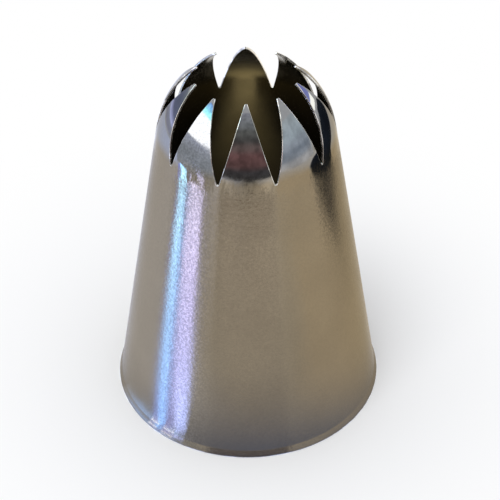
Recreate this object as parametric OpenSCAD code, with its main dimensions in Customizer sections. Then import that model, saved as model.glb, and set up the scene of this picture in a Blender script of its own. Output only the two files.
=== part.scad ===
// Closed star piping nozzle: one cup of thin sheet, drawn to a cone, its top cut into teeth that turn in.
// Millimetres. The origin is the centre of the base, +Z runs up to the tooth tips, and one tooth faces -Y.

/* [Cone] */
// Overall height, from the base edge to the tooth tips
height = 46.2; // [40:0.1:60]
// Outer diameter of the base edge
base_d = 35; // [32:0.5:42]
// Outer diameter of the shoulder, where the straight cone ends and the crown begins
shoulder_d = 21.5; // [20:0.1:25]
// Thickness of the sheet
wall = 0.3; // [0.25:0.05:0.6]

/* [Rim] */
// Height of the flared band along the base edge
rim_h = 0.9; // [0.6:0.1:2]
// How far the flare stands out past the line of the cone
rim_flare = 0.25; // [0.1:0.05:0.4]

/* [Crown] */
// Height of the crown, from the shoulder to the tooth tips
crown_h = 7.3; // [6:0.1:9]
// Diameter of the ring that the tooth tips end on, over their outer edges
tip_ring_d = 12.3; // [10:0.1:14]

/* [Slots] */
// Number of slots, and of the teeth between them
teeth = 10; // [6:1:12]
// Length of a slot along the sheet, from the tips to the point where its edges would meet
slot_len = 10.3; // [8:0.1:12]
// Width of a tooth at its blunt tip
tip_w = 0.3; // [0.2:0.05:0.6]
// Radius at the bottom of a slot
root_r = 0.15; // [0.1:0.05:0.3]

/* [Hidden] */

// How far a cut runs past the sheet
overrun = 0.5;
// How far the cone's top edge is tucked inside the crown's arc, so that the two outlines cross
tuck = 0.0005;
// Steps along one edge of a slot, and round its bottom
edge_steps = 14;
root_steps = 5;
turn_fn = 180;

// Half of the angle from one slot to the next
half_pitch = 180 / teeth;

// The straight cone, whose line meets the base plane inside the flared edge
shoulder = [shoulder_d / 2, height - crown_h];
cone_foot = [base_d / 2 - rim_flare, 0];
cone_a = atan2(cone_foot.x - shoulder.x, shoulder.y);

// The flared band, from its crease down to the base edge
crease = [cone_foot.x - rim_h * tan(cone_a), rim_h];
rim_a = atan2(base_d / 2 - crease.x, rim_h);

// The crown, an arc that leaves the cone along its line and ends at the tips
rise = [tip_ring_d / 2, height] - shoulder;
rise_a = atan2(-rise.x, rise.y);
tip_a = 2 * rise_a - cone_a;
crown_r = norm(rise) / (2 * sin(rise_a - cone_a));
crown_c = shoulder - crown_r * ray(cone_a);
crown_arc = crown_r * (tip_a - cone_a) * PI / 180;

// The way that the sheet's outer face looks where it leans in by angle a
function ray(a) = [cos(a), sin(a)];

// The way down the sheet where it leans in by angle a
function downhill(a) = [sin(a), -cos(a)];

// Point on the sheet's outer line at distance u from the tips
function on_sheet(u) =
    u < crown_arc
        ? crown_c + crown_r * ray(tip_a - u / crown_r * 180 / PI)
        : shoulder + (u - crown_arc) * downhill(cone_a);

// A tooth widens evenly along the sheet, from its tip to the root, where it meets its neighbours
root_half = on_sheet(slot_len).x * sin(half_pitch);
function tooth_half(u) = tip_w / 2 + (root_half - tip_w / 2) * u / slot_len;

// Half width and height of a slot at distance u from the tips, seen square to the slot
function slot_edge(u) =
    let (p = on_sheet(u))
    [p.x * sin(half_pitch - asin(tooth_half(u) / p.x)), p.y];

// The round bottom of a slot touches both edges, above the point where they would meet
slot_end = slot_edge(slot_len);
near_end = slot_edge(slot_len - root_r);
root_a = atan2(near_end.x, near_end.y - slot_end.y);
root_c = slot_end + [0, root_r / sin(root_a)];
root_top = root_c.y - root_r * sin(root_a);

function slot_side() = [
    for (i = [0:edge_steps])
        let (p = slot_edge((slot_len + overrun) * i / edge_steps - overrun))
        if (p.y > root_top) p
];

function slot_bottom() = [
    for (i = [0:root_steps])
        root_c + root_r * ray(-root_a - (180 - 2 * root_a) * i / root_steps)
];

function mirrored(points) = [for (i = [1:len(points)]) let (p = points[len(points) - i]) [-p.x, p.y]];

// Everything inside the outer face, or inside a face set in from it, down to past the base
module filled_section(inset) {
    crease_in = crease - inset / cos((rim_a - cone_a) / 2) * ray((rim_a + cone_a) / 2);
    base_in = crease_in + (rim_h + overrun) / cos(rim_a) * downhill(rim_a);
    shoulder_in = shoulder - (inset + tuck) * ray(cone_a);
    polygon([[0, shoulder_in.y], [0, base_in.y], base_in, crease_in, shoulder_in]);
    translate(crown_c) circle(r = crown_r - inset, $fn = turn_fn);
}

// The wall of the cup, cut square to the sheet at the tips and level at the base
module wall_section() {
    beyond = 2 * crown_r;
    intersection() {
        difference() {
            filled_section(0);
            filled_section(wall);
            translate(crown_c)
            polygon([[0, 0], beyond * ray(tip_a), [0, beyond], [-beyond, 0]]);
        }
        square([base_d, height + overrun]);
    }
}

// One slot's cutter, pointing along +X from inside the mouth to outside the cone
module slot_cutter() {
    from_x = (tip_ring_d / 2 - wall) * cos(half_pitch) - overrun;
    to_x = on_sheet(slot_len).x + overrun;
    translate([from_x, 0, 0])
    rotate([90, 0, 90])
    linear_extrude(height = to_x - from_x)
    polygon(concat(slot_side(), slot_bottom(), mirrored(slot_side())));
}

module nozzle() {
    color("silver")
    difference() {
        rotate_extrude($fn = turn_fn) wall_section();
        for (i = [0:teeth - 1])
            rotate((2 * i + 1) * half_pitch - 90) slot_cutter();
    }
}

nozzle();
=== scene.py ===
"""Closed star piping nozzle: one cup of thin stainless sheet, satin on the cone and polished on the crown.

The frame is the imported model's: metres, origin at the centre of the base edge, +Z to the tooth tips, one tooth
facing -Y. The finer piece built here follows the same profile as the solid, and adds the small bend at the rim
and the rounded cut edges.
"""
import math

import bmesh
import bpy
from mathutils import Matrix, Vector


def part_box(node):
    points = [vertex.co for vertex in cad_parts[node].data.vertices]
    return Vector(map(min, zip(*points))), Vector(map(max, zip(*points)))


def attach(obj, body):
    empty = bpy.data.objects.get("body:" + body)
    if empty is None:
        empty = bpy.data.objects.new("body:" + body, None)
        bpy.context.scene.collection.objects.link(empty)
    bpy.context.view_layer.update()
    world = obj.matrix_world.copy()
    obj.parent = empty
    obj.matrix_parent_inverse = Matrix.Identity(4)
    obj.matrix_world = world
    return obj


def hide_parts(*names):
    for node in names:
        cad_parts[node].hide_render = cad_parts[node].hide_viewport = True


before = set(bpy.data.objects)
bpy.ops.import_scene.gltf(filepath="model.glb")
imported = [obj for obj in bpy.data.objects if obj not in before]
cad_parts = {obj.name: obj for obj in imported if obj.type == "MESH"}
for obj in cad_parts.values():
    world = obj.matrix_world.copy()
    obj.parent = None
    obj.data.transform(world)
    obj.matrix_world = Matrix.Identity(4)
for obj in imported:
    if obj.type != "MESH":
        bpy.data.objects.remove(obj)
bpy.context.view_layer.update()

# ---------------------------------------------------------------- sizes, from the frame
low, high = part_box("nozzle")
HEIGHT = high.z - low.z
BASE_R = (high.x - low.x) / 2
MEASURED_HEIGHT = 46.2
MM = HEIGHT / MEASURED_HEIGHT           # one millimetre of the nozzle as it was measured

WALL = 0.3 * MM
SHOULDER_R = 10.75 * MM
CROWN_H = 7.3 * MM
TIP_R = 6.15 * MM
RIM_H = 0.9 * MM                        # the flared band along the base
RIM_FLARE = 0.25 * MM
RIM_BEND = 0.7 * MM                     # radius of the bend between the cone and the flare
TEETH = 10
SLOT_LEN = 10.3 * MM
TIP_W = 0.3 * MM
ROOT_R = 0.15 * MM
EDGE_R = 0.075 * MM                     # rounding of the sheared edges

HALF_PITCH = math.pi / TEETH
COLUMNS = 8                             # grid columns in half a tooth
TOOTH_ROWS, ROOT_ROWS, CONE_ROWS, BEND_ROWS, EDGE_STEPS = 26, 7, 34, 5, 4
SQUARE_ROWS = 4                         # rows under the tip, over which a slot's edge takes up its lean
WELD = 0.0008 * MM                      # points closer than this are joined
SLIVER = 0.0004 * MM                    # edges shorter than this are dissolved


def ray(a):
    return Vector((math.cos(a), math.sin(a)))


def downhill(a):
    return Vector((math.sin(a), -math.cos(a)))


# ---------------------------------------------------------------- the sheet's outer line, as in the solid
SHOULDER = Vector((SHOULDER_R, HEIGHT - CROWN_H))
TIP = Vector((TIP_R, HEIGHT))
CONE_FOOT = Vector((BASE_R - RIM_FLARE, 0))
CONE_A = math.atan2(CONE_FOOT.x - SHOULDER.x, SHOULDER.y)
CREASE = Vector((CONE_FOOT.x - RIM_H * math.tan(CONE_A), RIM_H))
RIM_A = math.atan2(BASE_R - CREASE.x, RIM_H)
RISE = TIP - SHOULDER
RISE_A = math.atan2(-RISE.x, RISE.y)
TIP_A = 2 * RISE_A - CONE_A
CROWN_R = RISE.length / (2 * math.sin(RISE_A - CONE_A))
CROWN_C = SHOULDER - CROWN_R * ray(CONE_A)
CROWN_ARC = CROWN_R * (TIP_A - CONE_A)

BEND_TANGENT = RIM_BEND * math.tan((RIM_A - CONE_A) / 2)
BEND_START = CROWN_ARC + (CREASE - SHOULDER).length - BEND_TANGENT
BEND_ARC = RIM_BEND * (RIM_A - CONE_A)
BEND_C = SHOULDER + (BEND_START - CROWN_ARC) * downhill(CONE_A) + RIM_BEND * ray(CONE_A)
FLARE_START = BEND_START + BEND_ARC
FLARE_TOP = BEND_C - RIM_BEND * ray(RIM_A)
BASE_U = FLARE_START + FLARE_TOP.y / math.cos(RIM_A)


def sheet(u):
    """Point on the sheet's outer line at distance u from the tips, and the way its outer face looks."""
    if u < CROWN_ARC:
        a = TIP_A - u / CROWN_R
        return CROWN_C + CROWN_R * ray(a), a
    if u < BEND_START:
        return SHOULDER + (u - CROWN_ARC) * downhill(CONE_A), CONE_A
    if u < FLARE_START:
        a = CONE_A + (u - BEND_START) / RIM_BEND
        return BEND_C - RIM_BEND * ray(a), a
    return FLARE_TOP + (u - FLARE_START) * downhill(RIM_A), RIM_A


# ---------------------------------------------------------------- the slots' edges on the sheet
ROOT_HALF = sheet(SLOT_LEN)[0].x * math.sin(HALF_PITCH)


def slot_half(u):
    """Half the width of a slot at distance u from the tips."""
    r = sheet(u)[0].x
    tooth_half = TIP_W / 2 + (ROOT_HALF - TIP_W / 2) * u / SLOT_LEN
    return r * math.sin(HALF_PITCH - math.asin(tooth_half / r))


ROOT_LEAN = math.atan(slot_half(SLOT_LEN - ROOT_R) / ROOT_R)
ROOT_C = SLOT_LEN - ROOT_R / math.sin(ROOT_LEAN)
ROOT_TOUCH = ROOT_C + ROOT_R * math.sin(ROOT_LEAN)


def slot_edge():
    """Points down one edge of a slot to its bottom: (u, half width, lean), where lean is the angle between straight
    across and the way that the edge looks."""
    points = []
    step = 0.05 * MM
    for i in range(TOOTH_ROWS):
        u = EDGE_R + (ROOT_TOUCH - EDGE_R) * i / TOOTH_ROWS
        lean = math.atan((slot_half(u - step) - slot_half(u + step)) / (2 * step))
        points.append((u, slot_half(u), lean * min(1, i / SQUARE_ROWS)))
    for i in range(ROOT_ROWS + 1):
        a = ROOT_LEAN + (math.pi / 2 - ROOT_LEAN) * i / ROOT_ROWS
        points.append((ROOT_C + ROOT_R * math.sin(a), ROOT_R * math.cos(a), a))
    return points


def quarter(steps):
    """Angles from zero to a right angle."""
    return [math.pi / 2 * i / steps for i in range(steps + 1)]


class Skin:
    """Collects the vertices of one tooth's sector with their true normals, and its faces."""

    def __init__(self):
        self.points, self.normals, self.faces, self.kinds = [], [], [], []

    def add(self, u, phi, depth, look):
        """A vertex at distance u down the sheet and angle phi from the tooth's middle, depth below the outer face.
        look is its normal, as shares of the sheet's own normal, of the way round and of the way down."""
        p, a = sheet(u)
        p = p - depth * ray(a)
        out, down = ray(a), downhill(a)
        round_ = Vector((-math.sin(phi), math.cos(phi), 0))
        flat = Vector((math.cos(phi), math.sin(phi), 0))
        up = Vector((0, 0, 1))
        self.points.append(flat * p.x + up * p.y)
        n = look[0] * (flat * out.x + up * out.y) + look[1] * round_ + look[2] * (flat * down.x + up * down.y)
        self.normals.append(n.normalized())
        return len(self.points) - 1

    def add_flat(self, r, z, phi, a):
        """A vertex at radius r and height z whose normal looks out at angle a above level."""
        flat = Vector((math.cos(phi), math.sin(phi), 0))
        self.points.append(flat * r + Vector((0, 0, z)))
        self.normals.append(flat * math.cos(a) + Vector((0, 0, math.sin(a))))
        return len(self.points) - 1

    def grid(self, rows, kind, flip=False):
        """Faces between rows of vertices, one below the other."""
        for upper, lower in zip(rows, rows[1:]):
            for i in range(len(upper) - 1):
                face = [upper[i], lower[i], lower[i + 1], upper[i + 1]]
                self.faces.append(face[::-1] if flip else face)
                self.kinds.append(kind)


OUTSIDE, INSIDE, EDGE = 0, 1, 2         # kinds of face, in the order of the piece's materials


def edge_round():
    """The sheared edge's section, from the outer face to the inner one: (inset from the edge, depth, and the shares
    of the normal that look out of the sheet and over the edge)."""
    corner = [(EDGE_R * (1 - math.sin(a)), EDGE_R * (1 - math.cos(a)), math.cos(a), math.sin(a))
              for a in quarter(EDGE_STEPS)]
    far = [(inset, WALL - depth, -out, over) for inset, depth, out, over in reversed(corner)]
    return corner + far


def across(skin, u, phi_end, depth, look):
    """One row of a tooth or of the cone under it, from its left edge to its right one."""
    return [skin.add(u, phi_end * (j / COLUMNS), depth, look) for j in range(-COLUMNS, COLUMNS + 1)]


def tooth_rows(skin, edge):
    """The rows of a tooth, from its tip to the slots' bottoms: the outer and inner ones, and those of the rounded
    edges at its right and left."""
    outer, inner, right, left = [], [], [], []
    section = edge_round()
    tip = [(edge[0], turn) for turn in reversed(quarter(EDGE_STEPS)[1:])]
    for (u, half, lean), turn in tip + [(point, 0) for point in edge]:
        lift, grow = math.sin(turn), math.cos(turn)         # the tip is rounded too, and turn goes round it
        end_u = u - EDGE_R * lift + EDGE_R * math.sin(lean)
        phi = HALF_PITCH - math.asin((half + EDGE_R * math.cos(lean)) / sheet(end_u)[0].x)
        outer.append(across(skin, end_u, phi, EDGE_R * (1 - grow), (grow, 0, -lift)))
        inner.append(across(skin, end_u, phi, WALL - EDGE_R * (1 - grow), (-grow, 0, -lift)))
        for side, rows in ((1, right), (-1, left)):
            row = []
            for inset, depth, out, over in section:
                inset = EDGE_R - (EDGE_R - inset) * grow
                depth = depth + (EDGE_R - depth if depth < WALL / 2 else WALL - EDGE_R - depth) * (1 - grow)
                at = u - EDGE_R * lift + inset * math.sin(lean)
                angle = HALF_PITCH - math.asin((half + inset * math.cos(lean)) / sheet(at)[0].x)
                look = (out * grow, side * over * math.cos(lean) * grow, -lift - over * math.sin(lean) * grow)
                row.append(skin.add(at, side * angle, depth, look))
            rows.append(row)
    return outer, inner, right, left


def cone_rows(skin, start):
    """The outer and inner rows of the whole sector, from just under the slots' bottoms to the base edge's rounding.
    Down the cone they get wider apart."""
    outer, inner = [], []
    base_cut = EDGE_R / math.tan((math.pi / 2 - RIM_A) / 2)
    inner_cut = WALL * math.tan(RIM_A) + EDGE_R / math.tan((math.pi / 2 + RIM_A) / 2)
    upper = [start + (BEND_START - start) * (i / CONE_ROWS) ** 1.5 for i in range(1, CONE_ROWS + 1)]
    bend = [BEND_START + BEND_ARC * i / BEND_ROWS for i in range(1, BEND_ROWS + 1)]
    down = [(u, u) for u in upper + bend]
    for share in (0.5, 1):
        down.append([FLARE_START + (BASE_U - cut - FLARE_START) * share for cut in (base_cut, inner_cut)])
    for u_out, u_in in down:
        outer.append(across(skin, u_out, HALF_PITCH, 0, (1, 0, 0)))
        inner.append(across(skin, u_in, HALF_PITCH, WALL, (-1, 0, 0)))
    return outer, inner


def base_rows(skin):
    """The base edge: rounded, level, rounded again."""
    rows = []
    corner_out = Vector((BASE_R, 0))
    corner_in = Vector((BASE_R - WALL / math.cos(RIM_A), 0))
    down = -math.pi / 2
    for corner, a_from, a_to in ((corner_out, RIM_A, down), (corner_in, down, RIM_A - math.pi)):
        half = abs(a_to - a_from) / 2
        centre = corner - EDGE_R / math.cos(half) * ray((a_from + a_to) / 2)
        for i in range(EDGE_STEPS + 1):
            a = a_from + (a_to - a_from) * i / EDGE_STEPS
            p = centre + EDGE_R * ray(a)
            rows.append([skin.add_flat(p.x, p.y, HALF_PITCH * (j / COLUMNS), a)
                         for j in range(-COLUMNS, COLUMNS + 1)])
    return rows


def nozzle_sector():
    """One tooth, with the part of the cone under it and half of the slot on each side."""
    skin = Skin()
    outer, inner, right, left = tooth_rows(skin, slot_edge())
    cone_out, cone_in = cone_rows(skin, ROOT_C + ROOT_R + EDGE_R)
    skin.grid(outer + cone_out, OUTSIDE)
    skin.grid(inner + cone_in, INSIDE, flip=True)
    skin.grid(right, EDGE)
    skin.grid(left, EDGE, flip=True)
    skin.grid([outer[0], inner[0]], EDGE, flip=True)
    skin.grid(base_rows(skin), EDGE)
    return skin


def nozzle_mesh():
    """A sector for each tooth, joined into one closed sheet, with the true normals on it."""
    sector = nozzle_sector()
    bm = bmesh.new()
    normal = bm.verts.layers.float_vector.new("true_normal")
    for k in range(TEETH):
        turn = Matrix.Rotation(2 * HALF_PITCH * k - math.pi / 2, 3, "Z")
        verts = []
        for p, n in zip(sector.points, sector.normals):
            v = bm.verts.new(turn @ p)
            v[normal] = turn @ n
            verts.append(v)
        for face, kind in zip(sector.faces, sector.kinds):
            f = bm.faces.new([verts[i] for i in face])
            f.material_index = kind
            f.smooth = True
    bmesh.ops.remove_doubles(bm, verts=bm.verts, dist=WELD)
    bmesh.ops.dissolve_degenerate(bm, edges=bm.edges, dist=SLIVER)
    mesh = bpy.data.meshes.new("nozzle_sheet")
    bm.to_mesh(mesh)
    bm.free()
    mesh.normals_split_custom_set_from_vertices([tuple(a.vector) for a in mesh.attributes["true_normal"].data])
    mesh.attributes.remove(mesh.attributes["true_normal"])
    return mesh


# ---------------------------------------------------------------- materials
class Shading:
    """A material under construction: its nodes, and the object's own coordinates in millimetres of the nozzle."""

    def __init__(self, name, metallic=1):
        self.material = bpy.data.materials.new(name)
        self.material.use_nodes = True
        self.nodes, self.links = self.material.node_tree.nodes, self.material.node_tree.links
        self.shader = self.nodes["Principled BSDF"]
        self.shader.inputs["Metallic"].default_value = metallic
        self.mm = self.scaled(self.new("ShaderNodeTexCoord").outputs["Object"], 1 / MM)

    def new(self, kind, **settings):
        node = self.nodes.new(kind)
        for key, value in settings.items():
            setattr(node, key, value)
        return node

    def feed(self, socket, value):
        """Puts a number or a colour on a socket, or links an output to it."""
        if isinstance(value, bpy.types.NodeSocket):
            self.links.new(value, socket)
        elif isinstance(value, tuple) and socket.type == "RGBA":
            socket.default_value = (*value, 1)
        else:
            socket.default_value = value

    def set(self, **sockets):
        for name, value in sockets.items():
            self.feed(self.shader.inputs[name.replace("_", " ")], value)

    def scaled(self, vector, share):
        node = self.new("ShaderNodeVectorMath", operation="SCALE")
        self.feed(node.inputs[0], vector)
        self.feed(node.inputs["Scale"], share)
        return node.outputs["Vector"]

    def along(self, axis):
        node = self.new("ShaderNodeSeparateXYZ")
        self.feed(node.inputs[0], self.mm)
        return node.outputs[axis]

    def distance(self, x, y):
        """Distance of a point on the floor from (x, y)."""
        node = self.new("ShaderNodeVectorMath", operation="DISTANCE")
        self.feed(node.inputs[0], self.mm)
        self.feed(node.inputs[1], (x, y, 0.0))
        return node.outputs["Value"]

    def stretched(self, *scale):
        """The coordinates with their own scale along each axis, so that a texture comes out in streaks."""
        node = self.new("ShaderNodeMapping")
        self.feed(node.inputs["Vector"], self.mm)
        self.feed(node.inputs["Scale"], scale)
        return node.outputs["Vector"]

    def noise(self, scale, detail=2, at=None):
        node = self.new("ShaderNodeTexNoise")
        self.feed(node.inputs["Vector"], at or self.mm)
        self.feed(node.inputs["Scale"], scale)
        self.feed(node.inputs["Detail"], detail)
        return node.outputs["Fac"]

    def math(self, operation, *values):
        node = self.new("ShaderNodeMath", operation=operation)
        for socket, value in zip(node.inputs, values):
            self.feed(socket, value)
        return node.outputs[0]

    def ramp(self, value, low, high, to_low=0.0, to_high=1.0):
        """A smooth step: to_low where value is low, to_high where it is high."""
        node = self.new("ShaderNodeMapRange", interpolation_type="SMOOTHSTEP")
        bounds = {"From Min": low, "From Max": high, "To Min": to_low, "To Max": to_high}
        for key, number in {"Value": value, **bounds}.items():
            self.feed(node.inputs[key], number)
        return node.outputs[0]

    def patches(self, scale, to_low=0.0, to_high=1.0, detail=3):
        """Noise that wanders between to_low and to_high."""
        return self.ramp(self.noise(scale, detail), 0.3, 0.7, to_low, to_high)

    def mix(self, share, a, b, kind="FLOAT"):
        node = self.new("ShaderNodeMix", data_type=kind)
        sockets = [s for s in node.inputs if s.enabled]
        for socket, value in zip(sockets, (share, a, b)):
            self.feed(socket, value)
        return next(s for s in node.outputs if s.enabled)

    def mix_colour(self, share, a, b):
        return self.mix(share, a, b, "RGBA")

    def bump(self, height, depth):
        """Bumps up to depth millimetres high."""
        node = self.new("ShaderNodeBump")
        self.feed(node.inputs["Height"], height)
        self.feed(node.inputs["Distance"], depth * MM)
        return node.outputs["Normal"]

    def light(self, colour):
        """Swaps the shader for plain light, and returns it."""
        node = self.new("ShaderNodeEmission")
        self.feed(node.inputs["Color"], colour)
        self.links.new(node.outputs[0], self.nodes["Material Output"].inputs["Surface"])
        return node.outputs[0]


# satin steel's colour; its warm, dark tone is partly a painted reflection of a warm, dim room
SATIN_WITH_REFLECTED_TINT = (0.256, 0.212, 0.148)
POLISHED = (0.27, 0.275, 0.285)
POLISH_LOW, POLISH_HIGH = 35.8, 37.6    # heights, in millimetres, between which the satin turns into polish
TINT_LOW, TINT_HIGH = 38.0, 39.9        # heights between which the painted warm reflection fades out
STREAKS_LOW, STREAKS_HIGH = 38.0, 39.0  # heights between which the polish loses its brushed streaks
SPARKLE_LEFT, SPARKLE_RIGHT = -0.62, 0.95     # azimuths of the two strips of painted sparkle, in radians from -Y towards +X
SPARKLE_LOW, SPARKLE_HIGH = 22.5, 30.5        # heights between which the right strip sets in
FLECK = 0.03                            # how much the grain's colour varies away from the strips


def outside_steel():
    """Satin cone, drawn round its axis, that turns into a polished crown just under the slots. Its warm tone is
    partly a painted reflection. Coarser grain is painted in a strip at the left and one high at the right, where the
    reflection bands fall, as painted sparkle of their highlights."""
    s = Shading("steel_outside")
    brushed = s.noise(1, 3, s.stretched(3.2, 3.2, 0.12))
    z = s.math("ADD", s.along("Z"), s.math("MULTIPLY_ADD", s.noise(0.35, 3), 0.9, -0.45))
    polish = s.ramp(s.math("ADD", z, s.ramp(brushed, 0.3, 0.7, -0.6, 0.6)), POLISH_LOW, POLISH_HIGH)

    azimuth = s.math("ARCTAN2", s.along("X"), s.math("MULTIPLY", s.along("Y"), -1.0))
    from_left = s.math("ABSOLUTE", s.math("SUBTRACT", azimuth, SPARKLE_LEFT))
    from_right = s.math("ABSOLUTE", s.math("SUBTRACT", azimuth, SPARKLE_RIGHT))
    # a strip of painted sparkle is coarsest as far as the first angle from its middle, and ends at the second
    left = s.ramp(from_left, 0.05, 0.36, 0.15, FLECK)
    right = s.ramp(from_right, 0.03, 0.24, s.ramp(z, SPARKLE_LOW, SPARKLE_HIGH, FLECK, 0.17), FLECK)
    grain = s.ramp(s.noise(4.0), 0.34, 0.66, -1, 1)
    # the grain's colour, stronger in the strips as painted sparkle of the reflection bands
    grain_and_sparkle = s.math("MULTIPLY_ADD", grain, s.math("MAXIMUM", left, right), 1.0)

    satin = s.mix_colour(s.patches(0.12), tuple(c * 0.96 for c in SATIN_WITH_REFLECTED_TINT), tuple(c * 1.04 for c in SATIN_WITH_REFLECTED_TINT))
    # the satin's painted warm reflection gives way to the neutral polish up the crown
    colour = s.mix_colour(s.ramp(z, TINT_LOW, TINT_HIGH), satin, POLISHED)
    s.set(Base_Color=s.scaled(colour, grain_and_sparkle), Specular_Tint=(0.72, 0.68, 0.6))

    satin_rough = s.math("ADD", s.patches(0.16, 0.16, 0.185), s.patches(3.2, 0, 0.04, detail=2))
    streaks = s.math("MULTIPLY", s.ramp(brushed, 0.4, 0.7, 0, 0.1), s.ramp(z, STREAKS_HIGH, STREAKS_LOW))
    polish_rough = s.math("ADD", s.ramp(s.noise(0.5, 3), 0.35, 0.75, 0.03, 0.09), streaks)
    tangent = s.new("ShaderNodeTangent", direction_type="RADIAL", axis="Z").outputs[0]
    s.set(Roughness=s.mix(polish, satin_rough, polish_rough), Anisotropic=1.0, Anisotropic_Rotation=0.25,
          Tangent=tangent, Normal=s.bump(s.math("MULTIPLY", s.noise(2.5, 3), s.mix(polish, 1.0, 0.03)), 0.017))
    return s.material


def inside_steel():
    """The inner face, left as it came from the press, with painted shade darkening it down the cone, and darker at
    the tips.
    """
    s = Shading("steel_inside")
    z = s.along("Z")
    # painted shade: darker down inside the cone; also darker towards the tips
    painted_darkening = s.math("MULTIPLY", s.ramp(z, 30.5, 40.7, 0.29, 1.0), s.ramp(z, 41, 45, 1.0, 0.6))
    colour = s.mix_colour(s.noise(0.35, 3), (0.28, 0.235, 0.15), (0.32, 0.275, 0.18))
    s.set(Base_Color=s.scaled(colour, s.math("MULTIPLY", s.patches(0.2, 0.92, 1.08), painted_darkening)),
          Roughness=s.patches(0.3, 0.16, 0.22), Normal=s.bump(s.noise(4.2), 0.004))
    return s.material


def edge_steel():
    """The sheared edges, bare, with painted glints on them and painted highlights at the tips."""
    s = Shading("steel_edge")
    # painted highlights: the base colour turns near white at the tips and in random spots along the edges
    tip_highlight = s.ramp(s.along("Z"), 45.75, 46.0)
    painted_glint = s.math("MAXIMUM", s.ramp(s.noise(0.5, 1), 0.5, 0.6), tip_highlight)
    s.set(Base_Color=s.mix_colour(painted_glint, (0.42, 0.4, 0.36), (0.95, 0.93, 0.88)),
          Roughness=s.patches(6, 0.2, 0.36, detail=2))
    return s.material


# ---------------------------------------------------------------- the piece
mesh = nozzle_mesh()
piece = bpy.data.objects.new("nozzle_sheet", mesh)
bpy.context.scene.collection.objects.link(piece)
for material in (outside_steel(), inside_steel(), edge_steel()):
    mesh.materials.append(material)
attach(piece, "root")
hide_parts("nozzle")


# ---------------------------------------------------------------- floor, world, camera and lamp
FLOOR_DROP = 0.00002                    # how far the floor lies under the base edge, in metres
PAINTED_LIGHT_LEFT, PAINTED_LIGHT_RIGHT, PAINTED_SHADE_FRONT = (1.16, 1.26, 1.6), (1.07, 1.0, 0.89), (0.3, 0.38, 0.66)    # painted shade and painted cool and warm light on the floor, as the steel mirrors it


def seen_ray(nodes, links):
    """1 for camera, glossy and transmission rays, which see the white background."""
    path = nodes.new("ShaderNodeLightPath")
    total = path.outputs["Is Camera Ray"]
    for name in ("Is Glossy Ray", "Is Transmission Ray"):
        node = nodes.new("ShaderNodeMath")
        node.operation = "MAXIMUM"
        links.new(total, node.inputs[0])
        links.new(path.outputs[name], node.inputs[1])
        total = node.outputs[0]
    return total


def floor_pale():
    """Pale floor that keeps the shadow, and whitens away from it. Reflections see painted shade on it just in front
    of the nozzle, painted cool light on the left and painted warm light on the right, and the floor as it is under
    the nozzle. The bounds are in millimetres."""
    s = Shading("floor_pale", metallic=0)
    s.set(Base_Color=(0.88, 0.89, 0.91), Roughness=0.9, Specular_IOR_Level=0.0)
    mirrored = s.new("ShaderNodeLightPath").outputs["Is Glossy Ray"]
    x = s.along("X")
    # painted light and shade that only reflections see: cool at the left, warm at the right, dark just in front
    sides = s.mix_colour(s.ramp(x, 4, 26), s.mix_colour(s.ramp(x, -25, 5), PAINTED_LIGHT_LEFT, (1, 1, 1)), PAINTED_LIGHT_RIGHT)
    reflected = s.mix_colour(s.ramp(s.distance(1.5, -13), 3, 31), PAINTED_SHADE_FRONT, sides)
    glowing = s.light(s.mix_colour(mirrored, (1, 1, 1), reflected))
    from_axis = s.distance(0, 0)
    whitened = s.math("MULTIPLY", s.ramp(from_axis, 17, 62), seen_ray(s.nodes, s.links))
    beyond_base = s.ramp(from_axis, 17.2, 17.5)
    mix = s.new("ShaderNodeMixShader")
    s.feed(mix.inputs[0], s.mix(mirrored, whitened, beyond_base))
    s.feed(mix.inputs[1], s.shader.outputs[0])
    s.feed(mix.inputs[2], glowing)
    s.feed(s.nodes["Material Output"].inputs["Surface"], mix.outputs[0])
    return s.material


def make_floor():
    bpy.ops.mesh.primitive_plane_add(size=4, location=(0, 0, -FLOOR_DROP))
    floor = bpy.context.object
    floor.name = "floor"
    floor.data.materials.append(floor_pale())


def make_world():
    """Even white light, a little brighter to the camera and in reflections than on the floor."""
    world = bpy.data.worlds.new("studio")
    bpy.context.scene.world = world
    world.use_nodes = True
    nodes, links = world.node_tree.nodes, world.node_tree.links
    level = nodes.new("ShaderNodeMapRange")
    level.inputs["To Min"].default_value = 0.85
    level.inputs["To Max"].default_value = 1.0
    links.new(seen_ray(nodes, links), level.inputs["Value"])
    links.new(level.outputs[0], nodes["Background"].inputs["Strength"])
    nodes["Background"].inputs["Color"].default_value = (1, 1, 1, 1)


def make_camera():
    """The photograph's camera, as fitted to its outline: from the front, looking down, with a long lens."""
    sensor = 36                                             # millimetres
    picture, focal, axis_x = 500, 1454.8, 247.274           # pixels
    back, up = 143.9, 137.61                                # millimetres of the nozzle
    down, lean = 39.3, -0.477                               # degrees
    data = bpy.data.cameras.new("camera")
    data.sensor_width = sensor
    data.lens = focal / picture * sensor
    data.clip_start, data.clip_end = 0.01, 20
    data.shift_x = (picture / 2 - axis_x) / picture
    camera = bpy.data.objects.new("camera", data)
    bpy.context.scene.collection.objects.link(camera)
    camera.location = (0, -back * MM, up * MM)
    pitch, roll = math.radians(90 - down), math.radians(lean)
    camera.rotation_euler = (Matrix.Rotation(pitch, 3, "X") @ Matrix.Rotation(roll, 3, "Z")).to_euler()
    bpy.context.scene.camera = camera


def toward(azimuth, elevation=0):
    """Unit vector: azimuth 0 is -Y, where the camera is, and 90 is +X."""
    a, e = math.radians(azimuth), math.radians(elevation)
    return Vector((math.sin(a) * math.cos(e), -math.cos(a) * math.cos(e), math.sin(e)))


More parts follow.
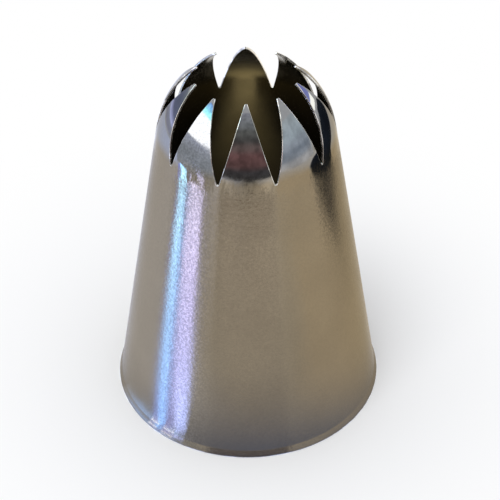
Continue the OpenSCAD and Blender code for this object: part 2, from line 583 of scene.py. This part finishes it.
def make_lamp():
    """One soft lamp, high at the left, that reflections don't see."""
    distance, size, power = 0.7, 0.35, 1.6                  # metres, metres, watts
    data = bpy.data.lights.new("lamp_key", "AREA")
    data.shape = "SQUARE"
    data.size = size
    data.energy = power
    lamp = bpy.data.objects.new("lamp_key", data)
    bpy.context.scene.collection.objects.link(lamp)
    way = toward(-35, 62)
    lamp.location = Vector((0, 0, HEIGHT / 2)) + distance * way
    lamp.rotation_euler = way.to_track_quat("Z", "Y").to_euler()
    lamp.visible_camera = lamp.visible_glossy = False


# ---------------------------------------------------------------- cards, which only reflections see
STREAK_DEPTH = 0.35                     # how much brighter and darker than its tone a streaky card gets
CARD_EDGE = 1.001                       # in half widths, just past 1, because a feather may be 1


def glow(name, tones, feather, clouds, streaks, beside):
    """A card's material: tones from its first row to its last, patchy by the share clouds and in a number of streaks
    along it. From the share feather of its half width on, they fade to the tone that is beside the card."""
    s = Shading(name)
    place = s.new("ShaderNodeSeparateXYZ")
    s.feed(place.inputs[0], s.new("ShaderNodeTexCoord").outputs["UV"])
    ramp = s.new("ShaderNodeValToRGB")
    ramp.color_ramp.interpolation = "EASE"
    while len(ramp.color_ramp.elements) < len(tones):
        ramp.color_ramp.elements.new(0.5)
    for element, (at, colour) in zip(ramp.color_ramp.elements, tones):
        element.position = at
        element.color = (*colour, 1)
    s.feed(ramp.inputs[0], place.outputs["Y"])
    patchy = s.scaled(ramp.outputs["Color"], s.ramp(s.noise(0.04, 3), 0.35, 0.65, 1 - clouds, 1 + clouds))
    if streaks:
        wave = s.math("SINE", s.math("MULTIPLY", place.outputs["X"], 2 * math.pi * streaks))
        patchy = s.scaled(patchy, s.math("MULTIPLY_ADD", wave, STREAK_DEPTH, 1.0))
    off_centre = s.math("ABSOLUTE", s.math("MULTIPLY_ADD", place.outputs["X"], 2.0, -1.0))
    s.light(s.mix_colour(s.ramp(off_centre, feather, CARD_EDGE), patchy, beside))
    return s.material


def make_card(name, rows, tones, feather=1.0, clouds=0.0, streaks=0, beside=(1, 1, 1)):
    """A card made of rows, each with its left and its right corner, in millimetres of the nozzle."""
    mesh = bpy.data.meshes.new(name)
    last = len(rows) - 1
    corners = [Vector(corner) * MM for row in rows for corner in row]
    mesh.from_pydata(corners, [], [(2 * i, 2 * i + 1, 2 * i + 3, 2 * i + 2) for i in range(last)])
    layer = mesh.uv_layers.new()
    for loop, uv in zip(mesh.loops, layer.data):
        uv.uv = (loop.vertex_index % 2, loop.vertex_index // 2 / last)
    mesh.materials.append(glow(name, tones, feather, clouds, streaks, beside))
    card = bpy.data.objects.new(name, mesh)
    bpy.context.scene.collection.objects.link(card)
    card.visible_camera = card.visible_diffuse = card.visible_shadow = False


def curved(distance, *rows):
    """Rows of a card that stands round the nozzle: heights, and the azimuths of its two sides."""
    return [[toward(azimuth) * distance + Vector((0, 0, z)) for azimuth in sides] for z, *sides in rows]


def flat(*rows, z=0.25):
    """Rows of a card that lies just over the floor."""
    return [[Vector((x, y, z)) for x, y in row] for row in rows]


def even(colour):
    """Tones of a card that has one colour."""
    return (0, colour), (1, colour)


make_floor()
make_world()
make_camera()
make_lamp()

# the room in front, dark and reddish low down, and the dull wall at the left
make_card("card_front", [[(-75, -127, z), (75, -127, z)] for z in (0, 300)], (
    (0, (0.1, 0.1, 0.1)), (0.07, (0.12, 0.11, 0.11)), (0.15, (0.3, 0.16, 0.15)), (0.22, (0.37, 0.19, 0.18)),
    (0.3, (0.32, 0.23, 0.21)), (0.39, (0.18, 0.17, 0.16)), (0.49, (0.26, 0.26, 0.24)), (0.63, (0.48, 0.5, 0.51)),
    (1, (0.63, 0.64, 0.72))), feather=0.9, clouds=0.25, beside=(0.85, 0.86, 0.9))
make_card("card_left", curved(112, (0, -88, -36), (62, -88, -40)), (
    (0, (0.72, 0.75, 0.8)), (0.55, (0.67, 0.71, 0.76)), (0.8, (0.8, 0.84, 0.94)), (1, (0.95, 1.0, 1.2))), clouds=0.08)

# the window high at the left, and the wall at the back of that side
make_card("card_window", curved(400, (124, -86, -44), (322, -90, -44), (400, -91, -44), (520, -91, -60)), (
    (0, (4, 4, 4)), (0.28, (4, 4, 4)), (0.38, (3.4, 4, 4)), (0.48, (1.6, 3.7, 3.8)), (0.64, (1.3, 3.4, 3.7)),
    (0.8, (0.9, 2.0, 3.0)), (1, (0.7, 1.2, 2.3))), feather=0.93)
make_card("card_left_back", curved(112, (18, -138, -104), (80, -138, -104)), (
    (0, (1, 1, 1)), (0.1, (0.68, 0.7, 0.9)), (0.22, (0.75, 0.8, 1.0)), (0.3, (1.35, 1.45, 2.2)),
    (0.36, (0.9, 0.95, 1.5)), (0.46, (0.36, 0.4, 0.62)), (0.7, (0.32, 0.36, 0.52)), (1, (0.5, 0.55, 0.66))),
    feather=0.8, clouds=0.08)

# the wall at the right, a dark thing before it, and the pale and the violet patch over that
make_card("card_right_front", curved(112, (14, 37, 84), (120, 39, 84)), (
    (0, (1.05, 1, 0.95)), (0.1, (1.08, 1.06, 1.04)), (0.2, (0.66, 0.72, 0.8)), (0.3, (0.5, 0.57, 0.66)),
    (0.4, (0.74, 0.82, 0.92)), (0.6, (0.92, 1.06, 1.14)), (1, (0.97, 1.08, 1.12))), feather=0.85, clouds=0.16)
make_card("card_right", curved(
    45, (10.5, 94, 101), (14, 87, 107), (18, 79, 114), (24, 71, 120), (28, 76, 123), (31, 88, 125), (36, 97, 128),
    (41, 103, 127), (46, 111, 124)), even((0.03, 0.038, 0.055)), feather=0.88, clouds=0.35)
make_card("card_right_high", curved(45, (48.5, 107, 119), (54, 103, 123), (64, 108, 128)), (
    (0, (3.4, 3.4, 3.1)), (0.4, (3.4, 3.4, 3.1)), (0.5, (0.6, 0.66, 1.45)), (1, (0.5, 0.56, 1.3))))

# the floor in front, and the blue and the violet strip on it with a haze between them
make_card("fill_front", flat(((-40, -32), (42, -32)), ((-66, -118), (72, -118))), (
    (0, (0.86, 0.86, 0.87)), (0.3, (1.05, 1.05, 1.06)), (1, (1.86, 1.86, 1.88))), feather=0.6)
make_card("glare_cool", flat(
    ((-12.65, -12.55), (-12.9, -13.8)), ((-100, -16.5), (-100, -31.8)), ((-114, -9), (-114, -22)),
    ((-170, -4), (-170, -14))), (
    (0, (1.42, 2.95, 8)), (0.08, (1.95, 4.1, 10)), (0.2, (2.15, 4.6, 10.2)), (0.33, (4.4, 9.8, 17.5)),
    (1, (2.4, 4, 6.4))))
make_card("glare_haze", flat(((-12.9, -11.8), (-11.8, -15.2)), ((-104, -8), (-104, -42.4)), z=0.14),
          even((0.88, 1.1, 3.15)))
make_card("glare_warm", flat(((-11.2, -15.2), (-10.6, -16.9)), ((-104, -42.4), (-85, -70.5))), (
    (0, (2.0, 2.8, 7.1)), (0.3, (2.45, 2.9, 7.1)), (0.6, (2.5, 2.55, 5.7)), (0.85, (7.6, 8.6, 17)),
    (1, (10.4, 11.9, 22.5))), streaks=5)

# the light that the rim catches at its foot
make_card("glare_foot", flat(
    ((-17.3, -4.2), (-17.8, -4.4)), ((-15.6, -8.6), (-16.6, -9.2)), ((-13.3, -11.8), (-14.3, -12.7)),
    ((-10.7, -14.2), (-11.4, -15.2)), ((-8.2, -15.8), (-8.5, -16.4)), z=0.05), (
    (0, (1.1, 1.3, 1.9)), (0.3, (1.3, 2.1, 4.6)), (0.7, (1.3, 2.1, 4.6)), (1, (0.9, 1, 1.5))))
make_card("glint_left", flat(((-13.5, -11.3), (-13.75, -11.55)), ((-12.4, -12.5), (-12.65, -12.75)), z=0.3),
          even((6.5, 7.8, 11)), beside=(1.6, 3, 7))
make_card("glint_right", flat(((-11.9, -13.1), (-12.1, -13.35)), ((-10.4, -14.3), (-10.6, -14.6)), z=0.3),
          even((7, 8, 11.5)), beside=(1.6, 2, 5))

# what the inner face mirrors: a brownish glow in front, dark at the back
make_card("glow_inside", [[(-7, -12.2, 12), (9, -11, 12)]] + flat(
    ((-6, -16), (6.5, -15.8)), ((-13, -10), (13.5, -10)), ((-16.5, 0), (16.5, 0)), ((-13, 10), (13, 10))), (
    (0, (0.6, 0.55, 0.38)), (0.25, (0.68, 0.61, 0.41)), (0.5, (0.52, 0.47, 0.31)), (0.75, (0.14, 0.13, 0.1)),
    (1, (0.05, 0.05, 0.05))), feather=0.62, beside=(0.05, 0.05, 0.05))

bpy.context.scene.view_settings.view_transform = "Standard"
